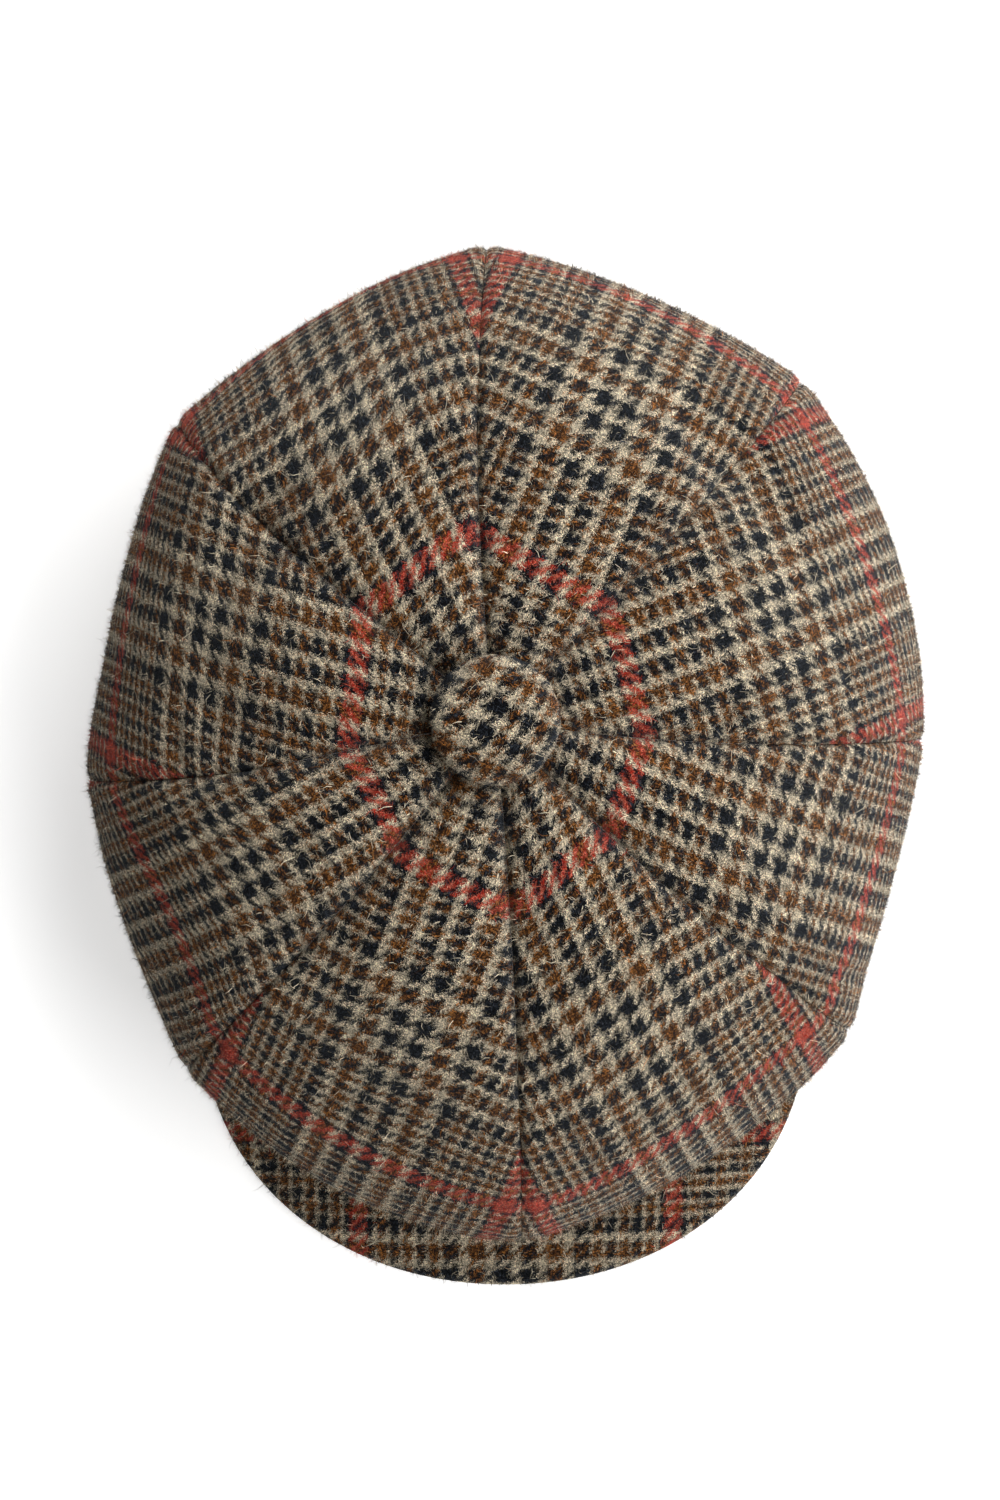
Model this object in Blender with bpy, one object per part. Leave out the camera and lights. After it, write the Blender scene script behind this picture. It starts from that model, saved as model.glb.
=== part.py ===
"""Baker boy cap: eight cloth crown panels, a head band, a peak and a covered button.

The cap rests on its surface, with its front towards -Y, its right side towards +X and +Z up.
Shapes are worked out about the middle of the head opening, and then the whole cap is set so that
the origin is the middle of its footprint's box, on the surface it rests on.
"""

from typing import NamedTuple

import bpy
import numpy as np

MM = 0.001

# Head band
HEAD_LENGTH = 198 * MM
HEAD_WIDTH = 162 * MM
BAND_HEIGHT = 32 * MM
BAND_WALL = 3 * MM
# The peak holds the rim's front off the surface, and the rim's back is pressed flat on it.
FRONT_RISE = 14 * MM
REST_PRESS = 1.2 * MM

# Crown
CROWN_LENGTH = 300 * MM
CROWN_WIDTH = 260 * MM
CROWN_HEIGHT = 112 * MM
CROWN_DROP = 82 * MM
CROWN_ROUNDNESS = 2.3
CLOTH_WALL = 2 * MM
PANEL_PUFF = 3 * MM
# A seam pulls the cloth in by this much, and the cloth swells out again over this width.
SEAM_SINK = 1.8 * MM
SEAM_SWELL = 7 * MM
DIMPLE_DEPTH = 6 * MM
DIMPLE_RADIUS = 17 * MM
APEX_HOLE = 3.5 * MM
# Where the button sits, from the middle of the head opening
APEX_BACK = 10 * MM
APEX_SIDE = -3 * MM
# The crown's underside turns down by the roll, then sags below its seam on the band.
ROLL_DEPTH = 17 * MM
UNDER_SAG = 14 * MM
UNDER_REACH = 0.55
SEAM_BELOW_BAND_TOP = 3 * MM

# Peak
PEAK_REACH = 64 * MM
PEAK_SPAN = np.radians(65)
PEAK_THICKNESS = 3.5 * MM
PEAK_END = 4 * MM
PEAK_LIFT = 8 * MM
PEAK_CAMBER = 3 * MM
PEAK_PRESS = 0.3 * MM
# The share of the span at which the peak's edge meets the surface
PEAK_TOUCH = 0.66

# Button
BUTTON_DIAMETER = 38 * MM
BUTTON_HEIGHT = 11 * MM
# The share of the radius that is flat below, and of the height at which the button is widest
BUTTON_BASE = 0.6
BUTTON_EDGE = 0.35

# Sewn pieces keep this gap
CLEARANCE = 0.3 * MM

# Facets
ROWS_OVER = 17
ROWS_UNDER = 7
PANEL_COLUMNS = 10
BAND_SEGMENTS = 72
PEAK_COLUMNS = 26
PEAK_ROWS = 6
BUTTON_SEGMENTS = 24
BUTTON_ROWS = 7


class Seam(NamedTuple):
    """A seam between two panels. Bearings are degrees from +X, seen from above, about the button.

    reach is a share of the crown's oval, and drop is a share of CROWN_DROP.
    """

    button_bearing: float
    rim_bearing: float
    bow: float
    reach: float
    drop: float


class Panel(NamedTuple):
    """The middle of a panel's rim, between its seam and the next one. reach is a share of the oval."""

    name: str
    rim_bearing: float
    reach: float
    colour: tuple


class Dent(NamedTuple):
    """A hollow in the crown's top. reach is a share of the oval, long and wide of CROWN_WIDTH,

    and depth of CROWN_DROP. slant is the bearing of its long way.
    """

    bearing: float
    reach: float
    slant: float
    long: float
    wide: float
    depth: float


SEAMS = (
    Seam(button_bearing=-9, rim_bearing=-2.5, bow=0, reach=1.02, drop=0.98),
    Seam(button_bearing=46, rim_bearing=48, bow=-1, reach=1.01, drop=0.94),
    Seam(button_bearing=97, rim_bearing=91, bow=0, reach=0.975, drop=0.90),
    Seam(button_bearing=138, rim_bearing=137, bow=3, reach=0.975, drop=0.94),
    Seam(button_bearing=190.5, rim_bearing=188, bow=2, reach=0.985, drop=0.98),
    Seam(button_bearing=233, rim_bearing=228, bow=0, reach=1.02, drop=0.89),
    Seam(button_bearing=275, rim_bearing=273, bow=0, reach=1.06, drop=0.80),
    Seam(button_bearing=313, rim_bearing=319, bow=0, reach=1.05, drop=0.89),
)

PANELS = (
    Panel("crown_panel_right_back", rim_bearing=22.5, reach=1.01, colour=(0.19, 0.16, 0.12)),
    Panel("crown_panel_back_right", rim_bearing=70, reach=0.94, colour=(0.17, 0.14, 0.11)),
    Panel("crown_panel_back_left", rim_bearing=112, reach=0.93, colour=(0.19, 0.16, 0.12)),
    Panel("crown_panel_left_back", rim_bearing=159, reach=0.93, colour=(0.17, 0.14, 0.11)),
    Panel("crown_panel_left_front", rim_bearing=206, reach=0.965, colour=(0.19, 0.16, 0.12)),
    Panel("crown_panel_front_left", rim_bearing=252, reach=1.02, colour=(0.17, 0.14, 0.11)),
    Panel("crown_panel_front_right", rim_bearing=296, reach=1.02, colour=(0.19, 0.16, 0.12)),
    Panel("crown_panel_right_front", rim_bearing=338.5, reach=0.99, colour=(0.17, 0.14, 0.11)),
)

DENTS = (
    Dent(bearing=44, reach=0.74, slant=-50, long=0.10, wide=0.035, depth=0.055),
    Dent(bearing=141, reach=0.66, slant=60, long=0.09, wide=0.035, depth=0.05),
    Dent(bearing=176, reach=0.62, slant=100, long=0.07, wide=0.04, depth=0.04),
    Dent(bearing=316, reach=0.86, slant=20, long=0.08, wide=0.04, depth=0.05),
    Dent(bearing=249, reach=0.80, slant=150, long=0.14, wide=0.06, depth=0.05),
    Dent(bearing=110, reach=0.80, slant=20, long=0.13, wide=0.06, depth=0.04),
)

# The shares across a panel at which its columns stand, closer together beside the seams
ACROSS = np.sin(np.linspace(-np.pi / 2, np.pi / 2, PANEL_COLUMNS + 1))
APEX = np.array((APEX_SIDE, APEX_BACK))
BAND_OUTER = np.array((HEAD_WIDTH, HEAD_LENGTH)) / 2 + BAND_WALL


def clear_scene():
    for obj in list(bpy.data.objects):
        bpy.data.objects.remove(obj)


def material(name, colour, roughness):
    made = bpy.data.materials.new(name)
    made.use_nodes = True
    shader = made.node_tree.nodes["Principled BSDF"]
    shader.inputs["Base Color"].default_value = (*colour, 1)
    shader.inputs["Roughness"].default_value = roughness
    shader.inputs["Metallic"].default_value = 0
    return made


def add_object(name, points, faces, colour, sharp_degrees=40):
    mesh = bpy.data.meshes.new(name)
    mesh.from_pydata(points.reshape(-1, 3).tolist(), [], faces)
    mesh.shade_smooth()
    mesh.set_sharp_from_angle(angle=np.radians(sharp_degrees))
    mesh.materials.append(material(name, colour, roughness=0.95))
    obj = bpy.data.objects.new(name, mesh)
    bpy.context.scene.collection.objects.link(obj)
    return obj


def grid_faces(rows, columns, start=0, flip=False):
    """Quads of a grid of points that are numbered row by row."""
    first = start + (np.arange(rows - 1)[:, None] * columns + np.arange(columns - 1)).ravel()
    quads = np.stack((first, first + columns, first + columns + 1, first + 1), axis=1)
    return (quads[:, ::-1] if flip else quads).tolist()


def edge_faces(loop, shift):
    """A wall of quads between a closed loop of points and its copy, numbered higher by shift."""
    following = np.roll(loop, -1)
    return np.stack((loop, following, following + shift, loop + shift), axis=1).tolist()


def add_sheet(name, face, back, colour):
    """A closed cloth wall between two grids of points, with its four edges closed."""
    rows, columns = face.shape[:2]
    numbers = np.arange(rows * columns).reshape(rows, columns)
    loop = np.concatenate((numbers[0, :-1], numbers[:-1, -1], numbers[-1, :0:-1], numbers[:0:-1, 0]))
    shift = rows * columns
    faces = grid_faces(rows, columns) + grid_faces(rows, columns, shift, flip=True)
    faces += edge_faces(loop, shift)
    return add_object(name, np.stack((face, back)), faces, colour)


def add_turned(name, rings, closing, colour):
    """A stack of rings. closing is "poles" where the ends are single points, or "loop" for a tube's wall."""
    count, segments = rings.shape[:2]
    numbers = np.arange(count * segments).reshape(count, segments)
    lower = numbers if closing == "loop" else numbers[:-1]
    upper = np.roll(numbers, -1, axis=0) if closing == "loop" else numbers[1:]
    quads = np.stack((lower, np.roll(lower, -1, axis=1), np.roll(upper, -1, axis=1), upper), axis=2)
    faces = quads.reshape(-1, 4).tolist()
    if closing == "poles":
        faces.append(numbers[0, ::-1].tolist())
        faces.append(numbers[-1].tolist())
    return add_object(name, rings, faces, colour)


def rim_height(y):
    """The plane of the band's lower edge, flat on the surface at the back."""
    half = BAND_OUTER[1]
    return FRONT_RISE * (half - y) / (2 * half) - REST_PRESS


def on_band(angle, outward=0.0):
    """Points in plan on the band's outer oval. The angle runs from +X, and outward is along the normal."""
    point = np.stack((np.cos(angle), np.sin(angle)), axis=-1) * BAND_OUTER
    normal = point / BAND_OUTER**2
    normal /= np.linalg.norm(normal, axis=-1, keepdims=True)
    return point + np.asarray(outward)[..., None] * normal


def oval(bearing):
    """The crown's plain oval about the button: its radius at a bearing."""
    return 1 / np.hypot(np.cos(bearing) * 2 / CROWN_WIDTH, np.sin(bearing) * 2 / CROWN_LENGTH)


def polar(bearing, radius):
    return np.stack((radius * np.cos(bearing), radius * np.sin(bearing)), axis=-1)


def dent_depth(plan):
    """How far the dents lower the crown's top at points in plan about the button."""
    depth = np.zeros(plan.shape[:-1])
    for dent in DENTS:
        bearing = np.radians(dent.bearing)
        offset = plan - polar(bearing, dent.reach * oval(bearing))
        slant = np.radians(dent.slant)
        along = offset @ np.array((np.cos(slant), np.sin(slant))) / (dent.long * CROWN_WIDTH)
        across = offset @ np.array((-np.sin(slant), np.cos(slant))) / (dent.wide * CROWN_WIDTH)
        depth += dent.depth * CROWN_DROP * np.exp(-(along**2) - across**2)
    return depth


def seam_rows(seam, spread, fall):
    """Points down one seam, from the button to the widest line, in plan about the button, with heights."""
    rim, top = np.radians(seam.rim_bearing), np.radians(seam.button_bearing)
    bow = np.radians(seam.bow) * 4 * spread * (1 - spread)
    bearing = rim + (top - rim) * (1 - spread) + bow
    radius = seam.reach * oval(rim) * spread
    height = CROWN_HEIGHT - seam.drop * CROWN_DROP * fall
    return np.concatenate((polar(bearing, radius), height[:, None]), axis=1)


def crown_top():
    """Rows of every panel from the button to the widest line, as (panel, row, column, xyz).

    Down a seam the section is a quarter of a rounded oval. Across a panel a row is the straight line
    between its seams near the button, and it swells to the panel's own reach at the widest line.
    """
    start = (2 * APEX_HOLE / CROWN_WIDTH) ** (CROWN_ROUNDNESS / 2)
    turn = np.linspace(np.arcsin(start), np.pi / 2, ROWS_OVER + 1)
    spread = np.sin(turn) ** (2 / CROWN_ROUNDNESS)
    fall = 1 - np.maximum(np.cos(turn), 0) ** (2 / CROWN_ROUNDNESS)
    lines = np.stack([seam_rows(seam, spread, fall) for seam in SEAMS])
    across = ACROSS[:, None]
    panels = []
    for panel, left, right in zip(PANELS, lines, np.roll(lines, -1, axis=0)):
        rim = np.radians(panel.rim_bearing)
        swell = polar(rim, panel.reach * oval(rim)) - (left[-1, :2] + right[-1, :2]) / 2
        rows = (left[:, None] * (1 - across) + right[:, None] * (1 + across)) / 2
        bulge = (1 - across**2) * spread[:, None, None] ** 2
        rows[..., :2] += bulge * swell
        puff = 4 * spread * (1 - spread)
        rows[..., 2] += PANEL_PUFF * puff[:, None] * (1 - across[:, 0] ** 2)
        panels.append(rows)
    top = np.stack(panels)
    radius = np.linalg.norm(top[..., :2], axis=-1)
    top[..., 2] -= DIMPLE_DEPTH * np.exp(-((radius / DIMPLE_RADIUS) ** 2))
    top[..., 2] -= dent_depth(top[..., :2]) * (1 - fall[:, None] ** 4)
    top[..., :2] += APEX
    return top


def crown_under(rim):
    """Rows from the widest line in to the band, on one smooth curve with four guide points a column."""
    bearings = np.arctan2(rim[:, [0, -1], 1], rim[:, [0, -1], 0])
    angles = np.arctan2(np.sin(bearings) / BAND_OUTER[1], np.cos(bearings) / BAND_OUTER[0])
    first, last = angles[:, :1], angles[:, 1:]
    last = np.where(last < first, last + 2 * np.pi, last)
    angle = first + (last - first) * (1 + ACROSS) / 2
    plan = on_band(angle, CLEARANCE)
    height = rim_height(plan[..., 1:]) + BAND_HEIGHT - SEAM_BELOW_BAND_TOP
    seam = np.concatenate((plan, height), axis=-1)
    rolled = rim - np.array((0, 0, ROLL_DEPTH))
    sagged = seam + np.array((UNDER_REACH, UNDER_REACH, 0)) * (rim - seam)
    sagged[..., 2] -= UNDER_SAG
    t = np.linspace(0, 1, ROWS_UNDER + 1)[1:, None, None]
    guides = [point[:, None] for point in (rim, rolled, sagged, seam)]
    weights = ((1 - t) ** 3, 3 * t * (1 - t) ** 2, 3 * t**2 * (1 - t), t**3)
    return sum(weight * guide for weight, guide in zip(weights, guides))


def crown_normals(panels):
    """Outward directions of the crown, the same for both panels along a shared seam."""
    whole = np.concatenate([panel[:, :-1] for panel in panels], axis=1)
    down = np.gradient(whole, axis=0)
    round_ = np.roll(whole, -1, axis=1) - np.roll(whole, 1, axis=1)
    normal = np.cross(down, round_)
    normal /= np.linalg.norm(normal, axis=-1, keepdims=True)
    normal[-1] = (0, 0, -1)
    columns = np.arange(PANEL_COLUMNS + 1)
    starts = np.arange(len(PANELS)) * PANEL_COLUMNS
    return [normal[:, (start + columns) % whole.shape[1]] for start in starts]


def sunk_at_seams(rows, normal):
    """A panel's rows with both sides pulled in along their normals, all but the row sewn to the band."""
    half = np.linalg.norm(rows[:, -1] - rows[:, 0], axis=-1)[:, None] / 2
    from_seam = (1 - np.abs(ACROSS)) * half
    sink = np.minimum(SEAM_SINK, half / 4) * np.exp(-from_seam / SEAM_SWELL)
    sink *= np.sqrt(np.linspace(1, 0, len(rows)))[:, None]
    return rows - sink[..., None] * normal


def drawn_in(rows, middle):
    """A panel's rows drawn in at both seams, which leaves half of the clearance on each side."""
    width = np.linalg.norm(rows[:, -1] - rows[:, 0], axis=-1)[:, None, None]
    return middle + (rows - middle) * (1 - CLEARANCE / width)


def add_crown():
    top = crown_top()
    panels = np.concatenate((top, crown_under(top[:, -1])), axis=1)
    panels = [sunk_at_seams(rows, normal) for rows, normal in zip(panels, crown_normals(panels))]
    for panel, rows, normal in zip(PANELS, panels, crown_normals(panels)):
        middle = (rows[:, :1] + rows[:, -1:]) / 2
        face = drawn_in(rows, middle)
        back = drawn_in(rows - CLOTH_WALL * normal, middle)
        add_sheet(panel.name, face, back, panel.colour)
    return top


def add_band():
    """The head band: an upright wall on an oval, its lower edge flat on the surface at the back."""
    angle = np.arange(BAND_SEGMENTS) * 2 * np.pi / BAND_SEGMENTS
    outer, inner = on_band(angle), on_band(angle, -BAND_WALL)
    rings = []
    for plan, lift in ((outer, 0), (outer, BAND_HEIGHT), (inner, BAND_HEIGHT), (inner, 0)):
        height = rim_height(outer[:, 1:]) + lift
        rings.append(np.concatenate((plan, np.maximum(height, 0)), axis=1))
    return add_turned("head_band", np.stack(rings), "loop", (0.15, 0.12, 0.09))


def peak_edge_height(share):
    """The height of the peak's free edge: lifted in the middle, on the surface at the touch, then up to the rim."""
    end = rim_height(on_band(-np.pi / 2 + PEAK_SPAN)[1])
    inside = PEAK_LIFT * np.cos(np.minimum(share / PEAK_TOUCH, 1) * np.pi / 2) ** 2
    outside = np.maximum(share - PEAK_TOUCH, 0) / (1 - PEAK_TOUCH)
    return inside + end * np.sin(outside * np.pi / 2) ** 2 - PEAK_PRESS


def add_peak():
    """The peak: its width out from the band falls with the cube of the way round from the front."""
    share = np.linspace(-1, 1, PEAK_COLUMNS + 1)
    width = PEAK_END + (PEAK_REACH - PEAK_END) * (1 - np.abs(share) ** 3)
    out = np.linspace(0, 1, PEAK_ROWS + 1)[:, None]
    outward = CLEARANCE + out * (width - CLEARANCE)
    plan = on_band(-np.pi / 2 + share * PEAK_SPAN, outward)
    root = rim_height(plan[:1, :, 1])
    camber = PEAK_CAMBER * np.sin(out * np.pi) * (width / PEAK_REACH)
    under = root + out * (peak_edge_height(np.abs(share)) - root) + camber
    under = np.maximum(under, 0)
    round_off = 1 - 0.5 * out**8
    over = under + PEAK_THICKNESS * round_off
    face = np.concatenate((plan, over[..., None]), axis=-1)
    back = np.concatenate((plan, under[..., None]), axis=-1)
    return add_sheet("peak", face, back, (0.16, 0.13, 0.10))


def seat_height(top, radii, rise):
    """The lowest seat at which an underside that rises this much at each radius clears the crown."""
    lines = top.swapaxes(1, 2).reshape(-1, top.shape[1], 3)
    heights = [np.interp(radii, np.linalg.norm(line[:, :2] - APEX, axis=1), line[:, 2]) for line in lines]
    return (np.max(heights, axis=0) - rise).max() + CLEARANCE


def add_button(top):
    """A padded disc, turned: a flat base, a small round under its edge and a rounded dome over it."""
    radius = BUTTON_DIAMETER / 2
    turn = np.linspace(0.03, 1, BUTTON_ROWS + 1) * np.pi / 2
    base, edge = BUTTON_BASE, BUTTON_EDGE
    under = np.stack((base + (1 - base) * np.sin(turn), edge - edge * np.cos(turn)), axis=1)
    dome = np.stack((np.cos(turn) ** 0.85, edge + (1 - edge) * np.sin(turn) ** 0.85), axis=1)
    section = np.concatenate((under[:-1:2], dome[:-1])) * (radius, BUTTON_HEIGHT)
    seat = seat_height(top, *(under * (radius, BUTTON_HEIGHT)).T)
    angle = np.arange(BUTTON_SEGMENTS) * 2 * np.pi / BUTTON_SEGMENTS
    plan = APEX + polar(angle, section[:, :1])
    height = np.broadcast_to(seat + section[:, 1:], plan.shape[:2])
    rings = np.concatenate((plan, height[..., None]), axis=-1)
    return add_turned("crown_button", rings, "poles", (0.14, 0.11, 0.08))


def set_origin():
    """Moves the whole cap so that the origin is the middle of its footprint's box, on the surface."""
    bodies = list(bpy.context.scene.collection.objects)
    corners = np.array([corner[:] for body in bodies for corner in body.bound_box])
    middle = (corners.min(axis=0) + corners.max(axis=0)) / 2
    for body in bodies:
        body.location = (-middle[0], -middle[1], -corners[:, 2].min())


clear_scene()
crown = add_crown()
add_band()
add_peak()
add_button(crown)
set_origin()
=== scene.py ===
"""Looks of a baker boy cap in checked wool tweed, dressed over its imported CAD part.

The cloth surfaces repeat the part's own shape on finer grids, and add what cloth does to it:
rolled seam edges, the ridge of the seam allowance, puckers, creases and the slow unevenness of
soft cloth. On each of them lies a nap of loose fibres, which are small flat slivers. Cloth and nap
carry a UV map named threads, which counts warp threads across and weft threads down, so the check
lies on each panel as it was cut. +X is the cap's right side, -Y its front and +Z up, and lengths
are in metres.
"""

import bpy
import numpy as np
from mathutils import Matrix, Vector


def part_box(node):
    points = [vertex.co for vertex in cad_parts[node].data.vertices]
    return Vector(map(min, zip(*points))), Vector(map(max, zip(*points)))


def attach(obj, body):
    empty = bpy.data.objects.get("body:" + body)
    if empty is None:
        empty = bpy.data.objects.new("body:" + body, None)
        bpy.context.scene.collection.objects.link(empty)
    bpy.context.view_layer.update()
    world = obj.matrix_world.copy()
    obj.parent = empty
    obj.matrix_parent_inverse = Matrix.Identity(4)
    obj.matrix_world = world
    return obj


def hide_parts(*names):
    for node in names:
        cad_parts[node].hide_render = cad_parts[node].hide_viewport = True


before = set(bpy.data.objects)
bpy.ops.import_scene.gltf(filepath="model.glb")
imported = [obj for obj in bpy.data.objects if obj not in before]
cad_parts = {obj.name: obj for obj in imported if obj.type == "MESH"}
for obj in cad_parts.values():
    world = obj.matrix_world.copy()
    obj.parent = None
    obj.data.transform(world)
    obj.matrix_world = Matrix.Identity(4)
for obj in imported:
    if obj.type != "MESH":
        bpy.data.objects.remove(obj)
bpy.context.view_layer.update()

MM = 0.001

# Shape of the part, as its source has it
HEAD_LENGTH = 198 * MM
HEAD_WIDTH = 162 * MM
BAND_HEIGHT = 32 * MM
BAND_WALL = 3 * MM
FRONT_RISE = 14 * MM
REST_PRESS = 1.2 * MM
CROWN_LENGTH = 300 * MM
CROWN_WIDTH = 260 * MM
CROWN_HEIGHT = 112 * MM
CROWN_DROP = 82 * MM
CROWN_ROUNDNESS = 2.3
CLOTH_WALL = 2 * MM
PANEL_PUFF = 3 * MM
SEAM_SINK = 1.8 * MM
SEAM_SWELL = 7 * MM
DIMPLE_DEPTH = 6 * MM
DIMPLE_RADIUS = 17 * MM
APEX_HOLE = 3.5 * MM
APEX_BACK = 10 * MM
APEX_SIDE = -3 * MM
ROLL_DEPTH = 17 * MM
UNDER_SAG = 14 * MM
UNDER_REACH = 0.55
SEAM_BELOW_BAND_TOP = 3 * MM
CLEARANCE = 0.3 * MM
PEAK_REACH = 64 * MM
PEAK_SPAN = np.radians(65)
PEAK_THICKNESS = 3.5 * MM
PEAK_END = 4 * MM
PEAK_LIFT = 8 * MM
PEAK_CAMBER = 3 * MM
PEAK_PRESS = 0.3 * MM
PEAK_TOUCH = 0.66
BUTTON_DIAMETER = 38 * MM
BUTTON_HEIGHT = 11 * MM
BUTTON_BASE = 0.6
BUTTON_EDGE = 0.35
# The power that rounds the button's dome, and the share of a quarter turn at which its rows begin
BUTTON_ROUNDING = 0.85
BUTTON_FIRST_ROW = 0.03
# The seams sink by no more than this share of a panel's half width
SINK_SHARE = 0.25

# Rows and columns of the cloth grids, and the rows that the part has over and under its crown
ROWS_OVER = 90
ROWS_UNDER = 34
PANEL_COLUMNS = 52
CAD_ROWS_OVER = 17
CAD_ROWS_UNDER = 7
BAND_SEGMENTS = 360
BAND_ROWS = 16
PEAK_COLUMNS = 150
PEAK_ROWS = 44
BUTTON_SEGMENTS = 144
BUTTON_ROWS = 26

# The cloth: one thread of warp or weft takes a millimetre, and the check repeats every 96 threads.
THREAD = 1.0 * MM
REPEAT = 96
# Threads down a panel from the button to four wefts that show: the red ring, the first and the last
# broad navy bars, and the red line near the rim
MARKED_WEFTS = (41.5, 69.5, 109.5, 137.5)
RING_WEFT = MARKED_WEFTS[0]
# How many threads further down than those marks the wefts lie, as read from the photo
WEFT_LAG = 0.5

# How the button's cloth lies: stretched over it, turned, and with this warp and weft at its middle
BUTTON_STRETCH = 1.1
BUTTON_TURN = np.radians(242)
BUTTON_CENTRE = np.array((47.5, 69))

# How the peak's cloth lies: its warps drawn apart, and its middle warp and this weft crossing here
PEAK_STRETCH = 1.03
PEAK_WEFT = 28
PEAK_CENTRE = np.array((3.5, -142)) * MM

# The gap between two panels at their faces and at their backs
SEAM_GROOVE = 0.35 * MM
SEWN_GAP = 0.02 * MM

# What sewing does to the cloth beside a seam
EDGE_ROLL = 1.3 * MM
EDGE_WIDTH = 1.0 * MM
RIDGE_RISE = 0.45 * MM
RIDGE_MIDDLE = 4.5 * MM
RIDGE_WIDTH = 2.6 * MM
PUCKER_RISE = 0.38 * MM
PUCKER_REACH = 11 * MM
# Where a panel's half width is under this, all of that is less in proportion
SEAM_ROOM = 14 * MM
# Puckers down a seam: three waves, each with the run that turns it by a radian and its strength, then
# the run that turns their common strength by a radian, and the middle and the swing of that strength
PUCKER_WAVES = ((2.1 * MM, 1), (3.3 * MM, 0.8), (1.5 * MM, 0.7))
PUCKER_SURGE = 15 * MM
PUCKER_SWING = (0.6, 0.4)
PUCKER_SEED = 40
# The slow unevenness of the whole crown, the lengths of its waves, and how far wear has flattened it
UNEVENNESS = 0.5 * MM
UNEVEN_LENGTHS = np.linspace(26, 70, 9) * MM
UNEVEN_SEED = 7
WORN_IN = 0.5 * MM

# Gathers in the button's cloth: how many stand round it and how deep they are, how far and how often
# round they crowd together, and where along the cloth they start and how soon they are full, as
# shares of the button's radius
PLEATS = 18
PLEAT_DEPTH = 0.35 * MM
PLEAT_CROWDING = 0.8
PLEAT_CROWDS = 5
PLEAT_START = 0.8
PLEAT_GROWTH = 0.5

# Points closer than this are one point when a seam is closed
WELD_REACH = 0.001 * MM

# Loose fibres: long bent hairs and the short fuzz between them, as many as stand on a square
# centimetre, their usual lengths, their width and how deep they are rooted
HAIRS_PER_SQUARE_CM = 55
HAIR_LENGTH = 2.3 * MM
FUZZ_PER_SQUARE_CM = 210
FUZZ_LENGTH = 1.2 * MM
TUFT_WIDTHS = np.linspace(2.4, 5, 4) * MM
FIBRE_WIDTH = 0.12 * MM
FIBRE_ROOT = 0.15 * MM
# How many threads away from its root a fibre was spun in, as a standard deviation
HAIR_STRAY = 1.7
FUZZ_STRAY = 0.7
# The least and the most that a fibre rises for each length of it, the least and the most droop and
# curl of a hair's outer half, and how far that curl carries it aside
HAIR_RISE = (0.15, 0.8)
FUZZ_RISE = (0.2, 1)
HAIR_BEND = (-0.6, 0.8)
HAIR_CURL = 1.5
# The shape of the gamma distribution of their lengths: more makes them more even
LENGTH_EVENNESS = 4
# Points in the mesh of one hair and of one sliver of fuzz, and the first piece's seed
HAIR_POINTS = 5
FUZZ_POINTS = 3
NAP_SEED = 100

# Seams in the order of the part's table: bearing at the button, bearing at the rim, bow, reach,
# drop, and the shares of the reach at which the four marked wefts meet the seam
SEAMS = np.array((
    (-9, -2.5, 0, 1.02, 0.98, 0.327, 0.572, 0.827, 0.928),
    (46, 48, -1, 1.01, 0.94, 0.322, 0.567, 0.818, 0.926),
    (97, 91, 0, 0.975, 0.90, 0.371, 0.604, 0.852, 0.963),
    (138, 137, 3, 0.975, 0.94, 0.365, 0.626, 0.882, 0.972),
    (190.5, 188, 2, 0.985, 0.98, 0.335, 0.585, 0.797, 0.908),
    (233, 228, 0, 1.02, 0.89, 0.325, 0.541, 0.768, 0.880),
    (275, 273, 0, 1.06, 0.80, 0.345, 0.548, 0.783, 0.917),
    (313, 319, 0, 1.05, 0.89, 0.323, 0.553, 0.799, 0.914),
))

# Panels: bearing of the rim's middle, its reach, where the marked wefts cross the middle line, and
# how many threads the cut is off that line at the red ring and at the outer red line, and how many
# wefts its middle leans over in a hundred warps
PANELS = {
    "crown_panel_right_back": (22.5, 1.01, 0.320, 0.543, 0.785, 0.902, -2.5, -1.5, -1.5),
    "crown_panel_back_right": (70, 0.94, 0.336, 0.560, 0.828, 0.963, -1, 4, -1.5),
    "crown_panel_back_left": (112, 0.93, 0.374, 0.593, 0.863, 0.990, -2, -6, 10),
    "crown_panel_left_back": (159, 0.93, 0.343, 0.593, 0.843, 0.946, 2.5, -1, -3),
    "crown_panel_left_front": (206, 0.965, 0.315, 0.535, 0.760, 0.867, -2.5, -6.5, 7),
    "crown_panel_front_left": (252, 1.02, 0.336, 0.522, 0.746, 0.893, -5, 0.5, 3),
    "crown_panel_front_right": (296, 1.02, 0.325, 0.526, 0.763, 0.902, 4, 4, 8),
    "crown_panel_right_front": (338.5, 0.99, 0.322, 0.556, 0.804, 0.928, 0.5, 3, 0),
}

# Dents of the part: bearing, reach, slant, then length, width and depth as the part's shares
DENTS = np.array((
    (44, 0.74, -50, 0.10, 0.035, 0.055),
    (141, 0.66, 60, 0.09, 0.035, 0.05),
    (176, 0.62, 100, 0.07, 0.04, 0.04),
    (316, 0.86, 20, 0.08, 0.04, 0.05),
    (249, 0.80, 150, 0.14, 0.06, 0.05),
    (110, 0.80, 20, 0.13, 0.06, 0.04),
))

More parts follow.
